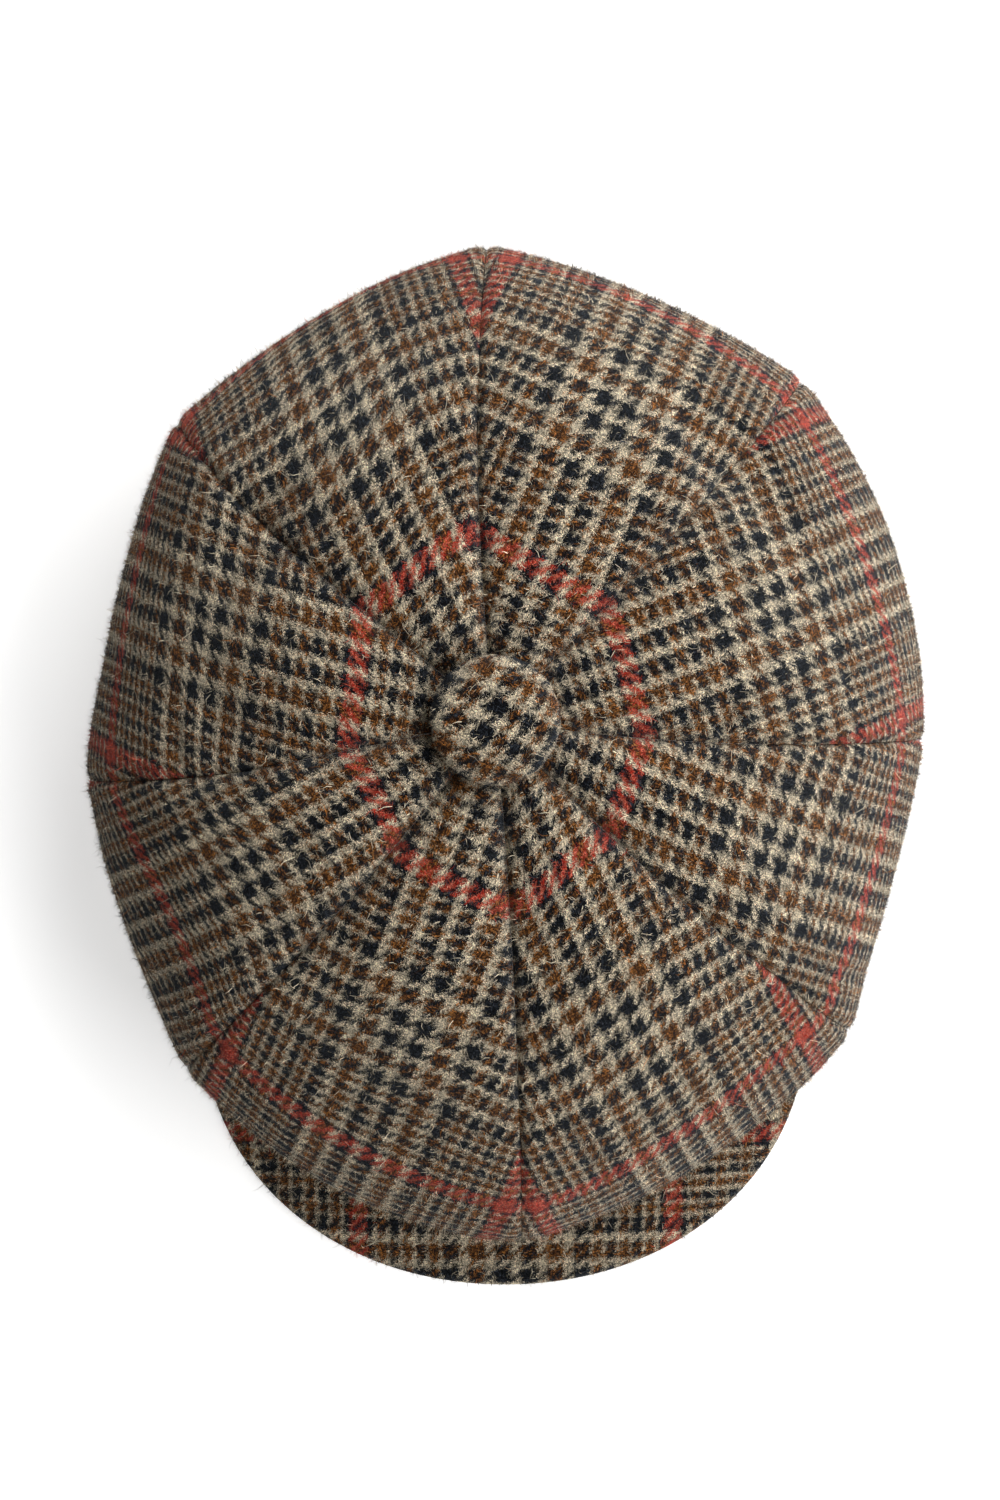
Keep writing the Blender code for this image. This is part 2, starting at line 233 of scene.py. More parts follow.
# Creases that only the looks have, in the same columns: small ones, then five broad ones at the rim
CREASES = np.array((
    (52, 0.70, -62, 0.055, 0.012, 0.018),
    (47, 0.80, -48, 0.060, 0.012, 0.018),
    (40, 0.62, -30, 0.050, 0.012, 0.014),
    (146, 0.60, 48, 0.060, 0.012, 0.018),
    (137, 0.74, 75, 0.055, 0.012, 0.016),
    (186, 0.72, 98, 0.060, 0.014, 0.018),
    (181, 0.50, 80, 0.050, 0.012, 0.012),
    (230, 0.62, 150, 0.070, 0.014, 0.014),
    (314, 0.72, 30, 0.070, 0.014, 0.016),
    (322, 0.93, 8, 0.050, 0.010, 0.020),
    (8, 0.80, 100, 0.060, 0.014, 0.012),
    (92, 0.62, 170, 0.060, 0.014, 0.012),
    (272, 0.80, 20, 0.060, 0.014, 0.010),
    (9, 0.99, 99, 0.14, 0.030, 0.018),
    (118, 0.97, 28, 0.10, 0.030, 0.015),
    (171, 0.97, 81, 0.06, 0.030, 0.014),
    (192, 0.99, 102, 0.07, 0.030, 0.026),
    (327, 1.00, 57, 0.05, 0.030, 0.014),
))

# The check's order of yarns from the red line to the middle of the pattern, each with its count
YARN_ORDER = (
    ("red", 2),
    *((yarn, 2) for yarn in ("navy", "cream", "rust", "cream") * 3),
    ("navy", 4),
    ("cream", 4),
    ("rust", 4),
    ("cream", 4),
    ("navy", 4),
    ("cream", 2),
)
# How many threads further the dark yarns reach over the cream, and the red over all, since milling
MILLED_SPREAD = 0.5
# Each yarn is spun from two shades of dyed wool, that of most of its fibres and that of its flecks,
# which show where the fibre noise is over a level.
YARN_SHADES = {
    "red": ("#AC2B1B", "#CF6C54", 0.42),
    "navy": ("#030406", "#3A3F48", 0.5),
    "cream": ("#EEDFC2", "#544B38", 0.49),
    "rust": ("#2A1A0C", "#BE7A3C", 0.49),
}
# Over how much of that noise a fleck comes in
FLECK_EDGE = 0.16

# A two-and-two twill comes back to the same step after four threads, and starts from this one
TWILL_THREADS = 4
TWILL_START = 3
# How milling shook the fibres about their threads: noises, each with its scale in cycles to a thread
# and its reach in threads
FIBRE_SHAKES = ((0.8, 1.8), (2.4, 2.4), (5.5, 2.2))
# Cycles of the fibre noise to a thread, along a yarn and across it
FIBRE_ALONG = 0.65
FIBRE_ACROSS = 1.8
# The darkest and lightest a yarn is spun, and the cloth's soiling: cycles to a thread, darkest, lightest
YARN_TONES = (0.85, 1.15)
SOILING = ((0.35, 0.75, 1.25), (2.4, 0.25, 1.9))
# The levels of a soiling noise that show darkest and lightest
SOILING_LEVELS = (0.3, 0.7)
# Distances from a thread's middle, in threads, at which its bead is full and gone, and the tone
# multiplied into the colour as painted shade in the crevice beside it and as painted light on its crest
BEAD_REACH = (0.15, 0.7)
PAINTED_BEAD_SHADE_AND_LIGHT = (0.25, 1.5)
# How high a bead stands, and the height of the fibres on it as a multiple of that
BEAD_HEIGHT = 0.35 * MM
FIBRE_HEIGHT = 1.2

# Width, length and area that each piece of cloth was cut to, with its seam allowance, before it was
# sewn: the panels over the temples are the narrow ones
WIDE_CUT = (0.130, 0.244, 0.0200)
NARROW_CUT = (0.106, 0.232, 0.0155)
NARROW_PANELS = ("crown_panel_left_front", "crown_panel_right_front")
BAND_CUT = (0.602, 0.042, 0.0253)
PEAK_CUT = (0.205, 0.138, 0.0175)

# The studio: half the floor's side and how strongly it is lit from below, the light from all round,
# then each soft light's name, place, side and watts, and the point that both face
FLOOR_HALF = 4.0
FLOOR_LIGHT = 0.62
ROOM_LIGHT = 0.06
SOFT_LIGHTS = (
    ("key_light", (1.1, 1.42, 1.25), 1.8, 52),
    ("side_light", (1.3, -0.7, 1.45), 1.4, 31),
)
LIT_POINT = (0, 0, 0.05)
# The photograph's view: straight down from 1.3 m over a point a little behind the cap's middle
CAMERA_PLACE = (-0.0016, 0.0068, 1.3)
CAMERA_LENS = 98.9
CAMERA_SENSOR = 36

# Columns across a panel from -1 to 1, close together at its seams, then the button's place in plan,
# and half the band's outer width and length
ACROSS = np.sin(np.linspace(-np.pi / 2, np.pi / 2, PANEL_COLUMNS + 1))
APEX = np.array((APEX_SIDE, APEX_BACK))
BAND_OUTER = np.array((HEAD_WIDTH, HEAD_LENGTH)) / 2 + BAND_WALL
BAND_BOX = np.array(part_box("head_band"))
# The middle of the head opening on the surface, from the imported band
OPENING = np.array((*BAND_BOX[:, :2].mean(axis=0), BAND_BOX[0, 2]))


def rim_height(y):
    """The plane of the band's lower edge: it falls evenly from FRONT_RISE to the back, less REST_PRESS."""
    half = BAND_OUTER[1]
    return FRONT_RISE * (half - y) / (2 * half) - REST_PRESS


def on_band(angle, outward=0.0):
    """Points of the band's oval at an angle from +X, moved outward along the oval's normal."""
    point = np.stack((np.cos(angle), np.sin(angle)), axis=-1) * BAND_OUTER
    normal = point / BAND_OUTER**2
    normal /= np.linalg.norm(normal, axis=-1, keepdims=True)
    return point + np.asarray(outward)[..., None] * normal


def oval(bearing):
    """The crown's oval about the button: 1 over the length of (cos / half width, sin / half length)."""
    return 1 / np.hypot(np.cos(bearing) * 2 / CROWN_WIDTH, np.sin(bearing) * 2 / CROWN_LENGTH)


def polar(bearing, radius):
    """Plan points at a bearing and a radius."""
    return np.stack((radius * np.cos(bearing), radius * np.sin(bearing)), axis=-1)


def hollows(plan, table):
    """The sum of a table's hollows, each exp(-along² - across²) times its depth, about its own slant."""
    depth = np.zeros(plan.shape[:-1])
    for bearing, reach, slant, long, wide, deep in table:
        bearing, slant = np.radians((bearing, slant))
        offset = plan - polar(bearing, reach * oval(bearing))
        along = offset @ np.array((np.cos(slant), np.sin(slant))) / (long * CROWN_WIDTH)
        across = offset @ np.array((-np.sin(slant), np.cos(slant))) / (wide * CROWN_WIDTH)
        depth += deep * CROWN_DROP * np.exp(-(along**2) - across**2)
    return depth


def seam_rows(seam, spread, fall):
    """A seam from button to rim: its bearing turns with the spread, its height drops with the fall."""
    top, rim, bow = np.radians(seam[:3])
    bearing = rim + (top - rim) * (1 - spread) + bow * 4 * spread * (1 - spread)
    radius = seam[3] * oval(rim) * spread
    height = CROWN_HEIGHT - seam[4] * CROWN_DROP * fall
    return np.concatenate((polar(bearing, radius), height[:, None]), axis=1)


def crown_top(spread, fall):
    """Rows of every panel from the button to the rim, as (panel, row, column, xyz).

    A row is the straight line between its two seams, plus a bulge of 1 - across² that grows with
    the square of the spread, less the dimple under the button and the dents.
    """
    lines = np.stack([seam_rows(seam, spread, fall) for seam in SEAMS])
    across = ACROSS[:, None]
    panels = []
    for (bearing, reach, *_), left, right in zip(PANELS.values(), lines, np.roll(lines, -1, axis=0)):
        rim = np.radians(bearing)
        swell = polar(rim, reach * oval(rim)) - (left[-1, :2] + right[-1, :2]) / 2
        rows = (left[:, None] * (1 - across) + right[:, None] * (1 + across)) / 2
        rows[..., :2] += (1 - across**2) * spread[:, None, None] ** 2 * swell
        puff = 4 * spread * (1 - spread)
        rows[..., 2] += PANEL_PUFF * puff[:, None] * (1 - across[:, 0] ** 2)
        panels.append(rows)
    top = np.stack(panels)
    radius = np.linalg.norm(top[..., :2], axis=-1)
    top[..., 2] -= DIMPLE_DEPTH * np.exp(-((radius / DIMPLE_RADIUS) ** 2))
    top[..., 2] -= hollows(top[..., :2], DENTS) * (1 - fall[:, None] ** 4)
    top[..., :2] += APEX
    return top


def crown_under(rim):
    """Rows from the rim in to the band, each column a cubic curve with four guide points."""
    bearings = np.arctan2(rim[:, [0, -1], 1], rim[:, [0, -1], 0])
    angles = np.arctan2(np.sin(bearings) / BAND_OUTER[1], np.cos(bearings) / BAND_OUTER[0])
    first, last = angles[:, :1], angles[:, 1:]
    last = np.where(last < first, last + 2 * np.pi, last)
    angle = first + (last - first) * (1 + ACROSS) / 2
    plan = on_band(angle, CLEARANCE)
    height = rim_height(plan[..., 1:]) + BAND_HEIGHT - SEAM_BELOW_BAND_TOP
    seam = np.concatenate((plan, height), axis=-1)
    rolled = rim - np.array((0, 0, ROLL_DEPTH))
    sagged = seam + np.array((UNDER_REACH, UNDER_REACH, 0)) * (rim - seam)
    sagged[..., 2] -= UNDER_SAG
    t = np.linspace(0, 1, ROWS_UNDER + 1)[1:, None, None]
    guides = [point[:, None] for point in (rim, rolled, sagged, seam)]
    weights = ((1 - t) ** 3, 3 * t * (1 - t) ** 2, 3 * t**2 * (1 - t), t**3)
    return sum(weight * guide for weight, guide in zip(weights, guides))


def crown_normals(panels):
    """Outward unit directions: the cross product of the way down and the way round the crown."""
    whole = np.concatenate([panel[:, :-1] for panel in panels], axis=1)
    down = np.gradient(whole, axis=0)
    around = np.roll(whole, -1, axis=1) - np.roll(whole, 1, axis=1)
    normal = np.cross(down, around)
    normal /= np.linalg.norm(normal, axis=-1, keepdims=True)
    normal[-1] = (0, 0, -1)
    columns = np.arange(PANEL_COLUMNS + 1)
    starts = np.arange(len(panels)) * PANEL_COLUMNS
    return np.stack([normal[:, (start + columns) % whole.shape[1]] for start in starts])


def eased_normals(panels, half):
    """Outward unit directions that turn smoothly from a panel's own into those of its two seams.

    Each seam's pull on them is exp(-(distance / SEAM_SWELL)²).
    """
    normals = crown_normals(panels)
    pulls = [np.exp(-((side * half / SEAM_SWELL) ** 2))[..., None] for side in (1 + ACROSS, 1 - ACROSS)]
    eased = normals + pulls[0] * (normals[:, :, :1] - normals) + pulls[1] * (normals[:, :, -1:] - normals)
    return eased / np.linalg.norm(eased, axis=-1, keepdims=True)


def lengths_along(points, axis):
    """Distance run along an axis of a grid of points, starting at nought."""
    steps = np.linalg.norm(np.diff(points, axis=axis), axis=-1)
    start = np.zeros_like(np.take(steps, [0], axis=axis))
    return np.concatenate((start, np.cumsum(steps, axis=axis)), axis=axis)


def weft_counts(line, marks, spread):
    """Weft counts down a line from the button: even between its marked wefts, then by distance."""
    run = lengths_along(line, axis=0) + np.linalg.norm(line[0, :2] - APEX)
    places = np.interp(marks, spread, run[: len(spread)])
    inside = np.interp(run, (0, *places), (0, *MARKED_WEFTS))
    return inside + np.maximum(run - places[-1], 0) / THREAD


def thread_counts(panels, spread):
    """Warp and weft counts at every point of the crown, as (panel, row, column, 2).

    The warp count is the distance from the panel's middle line and from its cut. The weft count
    across a panel is the parabola through its counts on the left seam, the middle line and the
    right seam, and between the seams it leans with the cut.
    """
    middle = PANEL_COLUMNS // 2
    lines = zip(panels, SEAMS, PANELS.values())
    counts = [
        (weft_counts(rows[:, 0], seam[5:], spread), weft_counts(rows[:, middle], marks[2:6], spread))
        for rows, seam, marks in lines
    ]
    left, centre = np.stack(counts, axis=1)[..., None]
    right = np.roll(left, -1, axis=0)
    at_ring, at_line, lean = np.array([panel[6:] for panel in PANELS.values()]).T[..., None, None]
    down = (centre - RING_WEFT) / (MARKED_WEFTS[-1] - RING_WEFT)
    from_middle = lengths_along(panels, axis=2) / THREAD
    from_middle -= from_middle[:, :, middle, None]
    warp = from_middle + REPEAT / 2 + at_ring + (at_line - at_ring) * down
    weft = centre * (1 - ACROSS**2) + left * (ACROSS**2 - ACROSS) / 2
    weft += right * (ACROSS**2 + ACROSS) / 2
    weft += from_middle * lean / 100 * (1 - ACROSS**2)
    return np.stack((warp, weft - RING_WEFT - WEFT_LAG), axis=-1)


def waves(points, lengths, seed):
    """A soft unevenness between -1 and 1: the mean of plane waves in random directions."""
    random = np.random.default_rng(seed)
    total = 0
    for length in lengths:
        way = random.normal(size=3)
        way *= 2 * np.pi / length / np.linalg.norm(way)
        total = total + np.sin(points @ way + random.uniform(0, 2 * np.pi))
    return total / len(lengths)


def seam_puckers(run, number):
    """Puckers down one seam: three sines of different lengths whose strength comes and goes."""
    random = np.random.default_rng(PUCKER_SEED + number)
    phases = random.uniform(0, 2 * np.pi, len(PUCKER_WAVES) + 1)
    waves_and_phases = zip(PUCKER_WAVES, phases)
    ripple = sum(strength * np.sin(run / length + phase) for (length, strength), phase in waves_and_phases)
    middle, swing = PUCKER_SWING
    return ripple * (middle + swing * np.sin(run / PUCKER_SURGE + phases[-1])) / 2


def cloth_relief(panels, plan_about_button):
    """What sewing and wear add to the crown's height along its normal, as (panel, row, column).

    Beside a seam it is two bell curves of the distance to it: a sunk one at the rolled edge and a
    raised one over the allowance. The puckers fade with exp(-distance / PUCKER_REACH).
    """
    half = np.linalg.norm(panels[:, :, -1] - panels[:, :, 0], axis=-1)[..., None] / 2
    from_left, from_right = (1 + ACROSS) * half, (1 - ACROSS) * half
    room = np.minimum(1, half / SEAM_ROOM)
    nearest = np.minimum(from_left, from_right)
    relief = -EDGE_ROLL * np.exp(-((nearest / EDGE_WIDTH) ** 2)) * room
    relief += RIDGE_RISE * np.exp(-(((nearest - RIDGE_MIDDLE) / RIDGE_WIDTH) ** 2)) * room
    run = lengths_along(panels[:, :, 0], axis=1)
    pucker = np.stack([seam_puckers(line, number) for number, line in enumerate(run)])[..., None]
    beside_left = np.exp(-from_left / PUCKER_REACH) * pucker
    beside_right = np.exp(-from_right / PUCKER_REACH) * np.roll(pucker, -1, axis=0)
    relief += PUCKER_RISE * room * (beside_left + beside_right)
    relief += UNEVENNESS * waves(panels, UNEVEN_LENGTHS, UNEVEN_SEED)
    return relief - WORN_IN - hollows(plan_about_button, CREASES)


def drawn_in(rows, middle, gap):
    """A panel's rows drawn in at both seams, which leaves a gap between neighbours."""
    width = np.linalg.norm(rows[:, -1] - rows[:, 0], axis=-1)[:, None, None]
    return middle + (rows - middle) * (1 - gap / width)


def grid_quads(rows, columns, start=0, flip=False):
    """Quads between neighbouring points of a grid that is numbered row by row."""
    first = start + (np.arange(rows - 1)[:, None] * columns + np.arange(columns - 1)).ravel()
    quads = np.stack((first, first + columns, first + columns + 1, first + 1), axis=1)
    return quads[:, ::-1] if flip else quads


def wall_quads(loop, shift):
    """Quads between a closed loop of points and its copy, which is numbered higher by shift."""
    following = np.roll(loop, -1)
    return np.stack((loop, following, following + shift, loop + shift), axis=1)


def add_piece(name, points, faces, threads, material, sharp_degrees=60):
    """A mesh piece from points about the head opening, smooth but for sharp edges, with its threads."""
    faces = np.asarray(faces)
    mesh = bpy.data.meshes.new(name)
    points = points.reshape(-1, 3) + OPENING
    mesh.vertices.add(len(points))
    mesh.vertices.foreach_set("co", points.astype(np.float32).ravel())
    mesh.loops.add(faces.size)
    mesh.loops.foreach_set("vertex_index", faces.astype(np.int32).ravel())
    mesh.polygons.add(len(faces))
    starts = np.arange(len(faces), dtype=np.int32) * faces.shape[1]
    mesh.polygons.foreach_set("loop_start", starts)
    layer = mesh.uv_layers.new(name="threads")
    corners = threads.reshape(-1, 2)[faces.ravel()]
    layer.data.foreach_set("uv", corners.astype(np.float32).ravel())
    mesh.update(calc_edges=True)
    mesh.validate()
    mesh.shade_smooth()
    mesh.set_sharp_from_angle(angle=np.radians(sharp_degrees))
    mesh.materials.append(material)
    piece = bpy.data.objects.new(name, mesh)
    bpy.context.scene.collection.objects.link(piece)
    return piece


def add_sheet(name, face, back, threads, material):
    """A closed cloth wall between a grid of points and the grid behind it."""
    rows, columns = face.shape[:2]
    numbers = np.arange(rows * columns).reshape(rows, columns)
    loop = np.concatenate((numbers[0, :-1], numbers[:-1, -1], numbers[-1, :0:-1], numbers[:0:-1, 0]))
    shift = rows * columns
    quads = (grid_quads(rows, columns), grid_quads(rows, columns, shift, flip=True))
    faces = np.concatenate((*quads, wall_quads(loop, shift)))
    points, counts = np.stack((face, back)), np.stack((threads, threads))
    return add_piece(name, points, faces, counts, material)


def add_crown(material):
    """The eight crown panels: the part's surface, sunk at its seams, with the cloth's relief.

    From the button to the rim they follow a superellipse: the spread is sin^(2 / CROWN_ROUNDNESS)
    and the fall 1 - cos^(2 / CROWN_ROUNDNESS) of an angle. The sink and the relief die out towards
    the band with the square root of the part's rows that are left.
    """
    start = (2 * APEX_HOLE / CROWN_WIDTH) ** (CROWN_ROUNDNESS / 2)
    turn = np.linspace(np.arcsin(start), np.pi / 2, ROWS_OVER + 1)
    spread = np.sin(turn) ** (2 / CROWN_ROUNDNESS)
    fall = 1 - np.maximum(np.cos(turn), 0) ** (2 / CROWN_ROUNDNESS)
    top = crown_top(spread, fall)
    panels = np.concatenate((top, crown_under(top[:, -1])), axis=1)
    threads = thread_counts(panels, spread)
    over = np.linspace(0, CAD_ROWS_OVER, ROWS_OVER + 1)
    under = CAD_ROWS_OVER + np.linspace(0, CAD_ROWS_UNDER, ROWS_UNDER + 1)[1:]
    free = np.sqrt(1 - np.concatenate((over, under)) / (CAD_ROWS_OVER + CAD_ROWS_UNDER))
    half = np.linalg.norm(panels[:, :, -1] - panels[:, :, 0], axis=-1)[..., None] / 2
    sink = np.minimum(SEAM_SINK, half * SINK_SHARE) * np.exp(-(1 - np.abs(ACROSS)) * half / SEAM_SWELL)
    relief = (cloth_relief(panels, panels[..., :2] - APEX) - sink) * free[:, None]
    normals = eased_normals(panels, half)
    faces = panels + relief[..., None] * normals
    made = {}
    for number, name in enumerate(PANELS):
        middle = (faces[number, :, :1] + faces[number, :, -1:]) / 2
        face = drawn_in(faces[number], middle, SEAM_GROOVE)
        back = drawn_in(faces[number] - CLOTH_WALL * normals[number], middle, SEWN_GAP)
        piece = add_sheet(name + "_tweed", face, back, threads[number], material)
        made[name] = (piece, face, threads[number])
    return made, top


def add_band(material):
    """The head band: an upright oval wall, flat above and below, with a join at the back.

    Its rings go down the outer face and up the inner one, each a ring of the oval's points.
    """
    angle = np.arange(BAND_SEGMENTS + 1) * 2 * np.pi / BAND_SEGMENTS + np.pi / 2
    lift = np.linspace(0, 1, BAND_ROWS + 1)
    outer = on_band(angle)
    rings, counts = [], []
    run = lengths_along(outer, axis=0) / THREAD
    for side, shares in ((0, lift[::-1]), (-BAND_WALL, lift)):
        for share in shares:
            plan = on_band(angle, side)
            height = rim_height(outer[:, 1]) + share * BAND_HEIGHT
            rings.append(np.concatenate((plan, np.maximum(height, 0)[:, None]), axis=1))
            down = (1 - share) * BAND_HEIGHT / THREAD
            counts.append(np.stack((run, np.full_like(run, down)), axis=1))
    points, threads = np.stack(rings), np.stack(counts)
    count, columns = points.shape[:2]
    quads = grid_quads(count, columns)
    closing = np.stack((np.arange(columns), np.arange(columns) + (count - 1) * columns))
    last = np.stack((closing[1, :-1], closing[0, :-1], closing[0, 1:], closing[1, 1:]), axis=1)
    piece = add_piece("head_band_tweed", points, np.concatenate((quads, last)), threads, material)
    weld(piece)
    return piece, points[: BAND_ROWS + 1], threads[: BAND_ROWS + 1]


def weld(piece):
    """Joins points of a piece that lie on each other, so that its seam is closed."""
    tool = piece.modifiers.new("close", "WELD")
    tool.merge_threshold = WELD_REACH
    graph = bpy.context.evaluated_depsgraph_get()
    closed = bpy.data.meshes.new_from_object(piece.evaluated_get(graph))
    piece.modifiers.clear()
    piece.data = closed
    closed.name = piece.name


def peak_edge_height(share):
    """The free edge's height: cos² from the lifted middle to the touch, then sin² up to the rim."""
    end = rim_height(on_band(-np.pi / 2 + PEAK_SPAN)[1])
    inside = PEAK_LIFT * np.cos(np.minimum(share / PEAK_TOUCH, 1) * np.pi / 2) ** 2
    outside = np.maximum(share - PEAK_TOUCH, 0) / (1 - PEAK_TOUCH)
    return inside + end * np.sin(outside * np.pi / 2) ** 2 - PEAK_PRESS


def peak_thread_counts(plan, face):
    """Warp and weft counts of the peak, whose cloth follows the plan and turns down over the edge.

    Each point of the plan is moved out along its column by the length that the face gains over it.
    """
    way = (plan[-1] - plan[0]) / np.linalg.norm(plan[-1] - plan[0], axis=-1, keepdims=True)
    turned_over = lengths_along(face, axis=0) - lengths_along(plan, axis=0)
    cut = plan + turned_over[..., None] * way
    warp = (cut[..., 0] + OPENING[0] - PEAK_CENTRE[0]) / (PEAK_STRETCH * THREAD) + REPEAT / 2
    weft = PEAK_WEFT + (PEAK_CENTRE[1] - cut[..., 1] - OPENING[1]) / THREAD
    return np.stack((warp, weft), axis=-1)


def add_peak(material):
    """The peak: cloth over a stiff board, its width falling with the cube of the way round.

    Its edge is a half round, so the wall's two faces meet in a soft turned edge.
    """
    share = np.linspace(-1, 1, PEAK_COLUMNS + 1)
    width = PEAK_END + (PEAK_REACH - PEAK_END) * (1 - np.abs(share) ** 3)
    out = np.sin(np.linspace(0, np.pi / 2, PEAK_ROWS + 1))[:, None]
    outward = CLEARANCE + out * (width - CLEARANCE)
    plan = on_band(-np.pi / 2 + share * PEAK_SPAN, outward)
    root = rim_height(plan[:1, :, 1])
    camber = PEAK_CAMBER * np.sin(out * np.pi) * (width / PEAK_REACH)
    under = root + out * (peak_edge_height(np.abs(share)) - root) + camber
    under = np.maximum(under, 0)
    from_edge = (1 - out) * width
    inside = np.clip(from_edge / (PEAK_THICKNESS / 2), 0, 1)
    half = np.sqrt(1 - (1 - inside) ** 2) * PEAK_THICKNESS / 2
    middle = under + PEAK_THICKNESS / 2
    face = np.concatenate((plan, (middle + half)[..., None]), axis=-1)
    back = np.concatenate((plan, (middle - half)[..., None]), axis=-1)
    threads = peak_thread_counts(plan, face)
    piece = add_sheet("peak_tweed", face, back, threads, material)
    return piece, face, threads


def seat_height(top, radii, rise):
    """The lowest seat at which an underside that rises this much at each radius clears the crown."""
    lines = top.swapaxes(1, 2).reshape(-1, top.shape[1], 3)
    reach = [np.linalg.norm(line[:, :2] - APEX, axis=1) for line in lines]
    heights = [np.interp(radii, way, line[:, 2]) for way, line in zip(reach, lines)]
    return (np.max(heights, axis=0) - rise).max() + CLEARANCE


def dome_triangles(rings, segments):
    """Triangles of a closed turned shape: between its rings, and fans to its two poles, numbered last."""
    numbers = np.arange(rings * segments).reshape(rings, segments)
    lower, upper = numbers[:-1], numbers[1:]
    side = np.stack((lower, np.roll(lower, -1, axis=1), np.roll(upper, -1, axis=1), upper), axis=2)
    quads = side.reshape(-1, 4)
    foot = rings * segments
    first, last = numbers[0], numbers[-1]
    low = np.stack((np.roll(first, -1), first, np.full(segments, foot)), axis=1)
    high = np.stack((last, np.roll(last, -1), np.full(segments, foot + 1)), axis=1)
    return np.concatenate((quads[:, [0, 1, 2]], quads[:, [0, 2, 3]], low, high))


def add_button(top, material):
    """The covered button: a turned dome, its cloth gathered in small pleats under the edge.

    Over its edge the section is (c, edge + (1 - edge) s), where c and s are an angle's cosine and
    sine to the power BUTTON_ROUNDING. Under it a quarter of an ellipse runs in to the base. The
    pleats are a sine of the bearing, whose phase sways so that they crowd here and there.
    """
    radius = BUTTON_DIAMETER / 2
    turn = np.linspace(BUTTON_FIRST_ROW, 1, BUTTON_ROWS + 1) * np.pi / 2
    base, edge = BUTTON_BASE, BUTTON_EDGE
    under = np.stack((base + (1 - base) * np.sin(turn), edge - edge * np.cos(turn)), axis=1)
    rise = edge + (1 - edge) * np.sin(turn) ** BUTTON_ROUNDING
    dome = np.stack((np.cos(turn) ** BUTTON_ROUNDING, rise), axis=1)
    section = np.concatenate((under[:-1:2], dome[:-1])) * (radius, BUTTON_HEIGHT)
    seat = seat_height(top, *(under * (radius, BUTTON_HEIGHT)).T)
    angle = np.arange(BUTTON_SEGMENTS) * 2 * np.pi / BUTTON_SEGMENTS
    run = lengths_along(section, axis=0)
    from_pole = run[-1] - run + section[-1, 0]
    pleat = 0.5 * (1 + np.sin(angle * PLEATS + PLEAT_CROWDING * np.sin(angle * PLEAT_CROWDS)))
    depth = PLEAT_DEPTH * np.clip((from_pole - radius * PLEAT_START) / (radius * PLEAT_GROWTH), 0, 1)
    plan = APEX + polar(angle, section[:, :1] - depth[:, None] * pleat)
    height = np.broadcast_to(seat + section[:, 1:], plan.shape[:2])
    points = np.concatenate((plan, height[..., None]), axis=-1)
    spread_out = from_pole[:, None] / (BUTTON_STRETCH * THREAD)
    threads = polar(angle - BUTTON_TURN, spread_out) + BUTTON_CENTRE
    poles = np.array(((*APEX, seat), (*APEX, seat + BUTTON_HEIGHT)))
    pole_threads = np.array((threads[0].mean(axis=0), threads[-1].mean(axis=0)))
    everything = np.concatenate((points.reshape(-1, 3), poles))
    counts = np.concatenate((threads.reshape(-1, 2), pole_threads))
    triangles = dome_triangles(*points.shape[:2])
    piece = add_piece("crown_button_tweed", everything, triangles, counts, material)
    return piece, points[::-1], threads[::-1]


def scattered(face, threads, per_square_cm, random):
    """Roots spread evenly over a cloth face, with their outward and sideways directions and threads.

    A root's cell of the grid is drawn by area, and it lies anywhere in that cell.
    """
    down, across = face[1:, :-1] - face[:-1, :-1], face[:-1, 1:] - face[:-1, :-1]
    out = np.cross(down, across).reshape(-1, 3)
    area = np.linalg.norm(out, axis=1)
    count = int(area.sum() / (10 * MM) ** 2 * per_square_cm)
    cell = random.choice(len(area), count, p=area / area.sum())
    place = np.unravel_index(cell, down.shape[:2])
    row, column = random.random((2, count, 1))

    def at_root(grid):
        """A grid's value at each root, even between the four corners of its cell."""
        first, second = grid[place], grid[place[0] + 1, place[1]]
        third, fourth = grid[place[0], place[1] + 1], grid[place[0] + 1, place[1] + 1]
        left = first * (1 - row) + second * row
        return left * (1 - column) + (third * (1 - row) + fourth * row) * column

    normal = out[cell] / area[cell, None]
    along = np.cross(normal, random.normal(size=(count, 3)))
    along /= np.linalg.norm(along, axis=1, keepdims=True)
    return at_root(face) - normal * FIBRE_ROOT, normal, along, at_root(threads)


def bent_hairs(face, threads, random):
    """Long loose hairs, each a flat ribbon of three triangles, as points, faces and thread counts.

    A hair leaves the cloth at a slant of its own, bends over halfway towards the cloth and to one
    side, and ends in a point.
    """
    root, normal, along, counts = scattered(face, threads, HAIRS_PER_SQUARE_CM, random)
    aside = np.cross(normal, along)
    count = len(root)
    length = HAIR_LENGTH * random.gamma(LENGTH_EVENNESS, 1 / LENGTH_EVENNESS, (count, 1))
    rise = random.uniform(*HAIR_RISE, (count, 1))
    droop, curl = random.uniform(*HAIR_BEND, (2, count, 1))
    first = along * np.sqrt(1 - rise**2) + normal * rise
    second = along + normal * (rise - droop) + aside * curl * HAIR_CURL
    second /= np.linalg.norm(second, axis=1, keepdims=True)
    middle = root + first * length / 2
    side = aside * FIBRE_WIDTH / 2
    tip = middle + second * length / 2
    hairs = np.stack((root - side, root + side, middle - side, middle + side, tip), axis=1)
    corners = np.array(((0, 2, 1), (1, 2, 3), (2, 4, 3)))
    faces = (np.arange(count)[:, None, None] * HAIR_POINTS + corners).reshape(-1, 3)
    return hairs.reshape(-1, 3), faces, counts


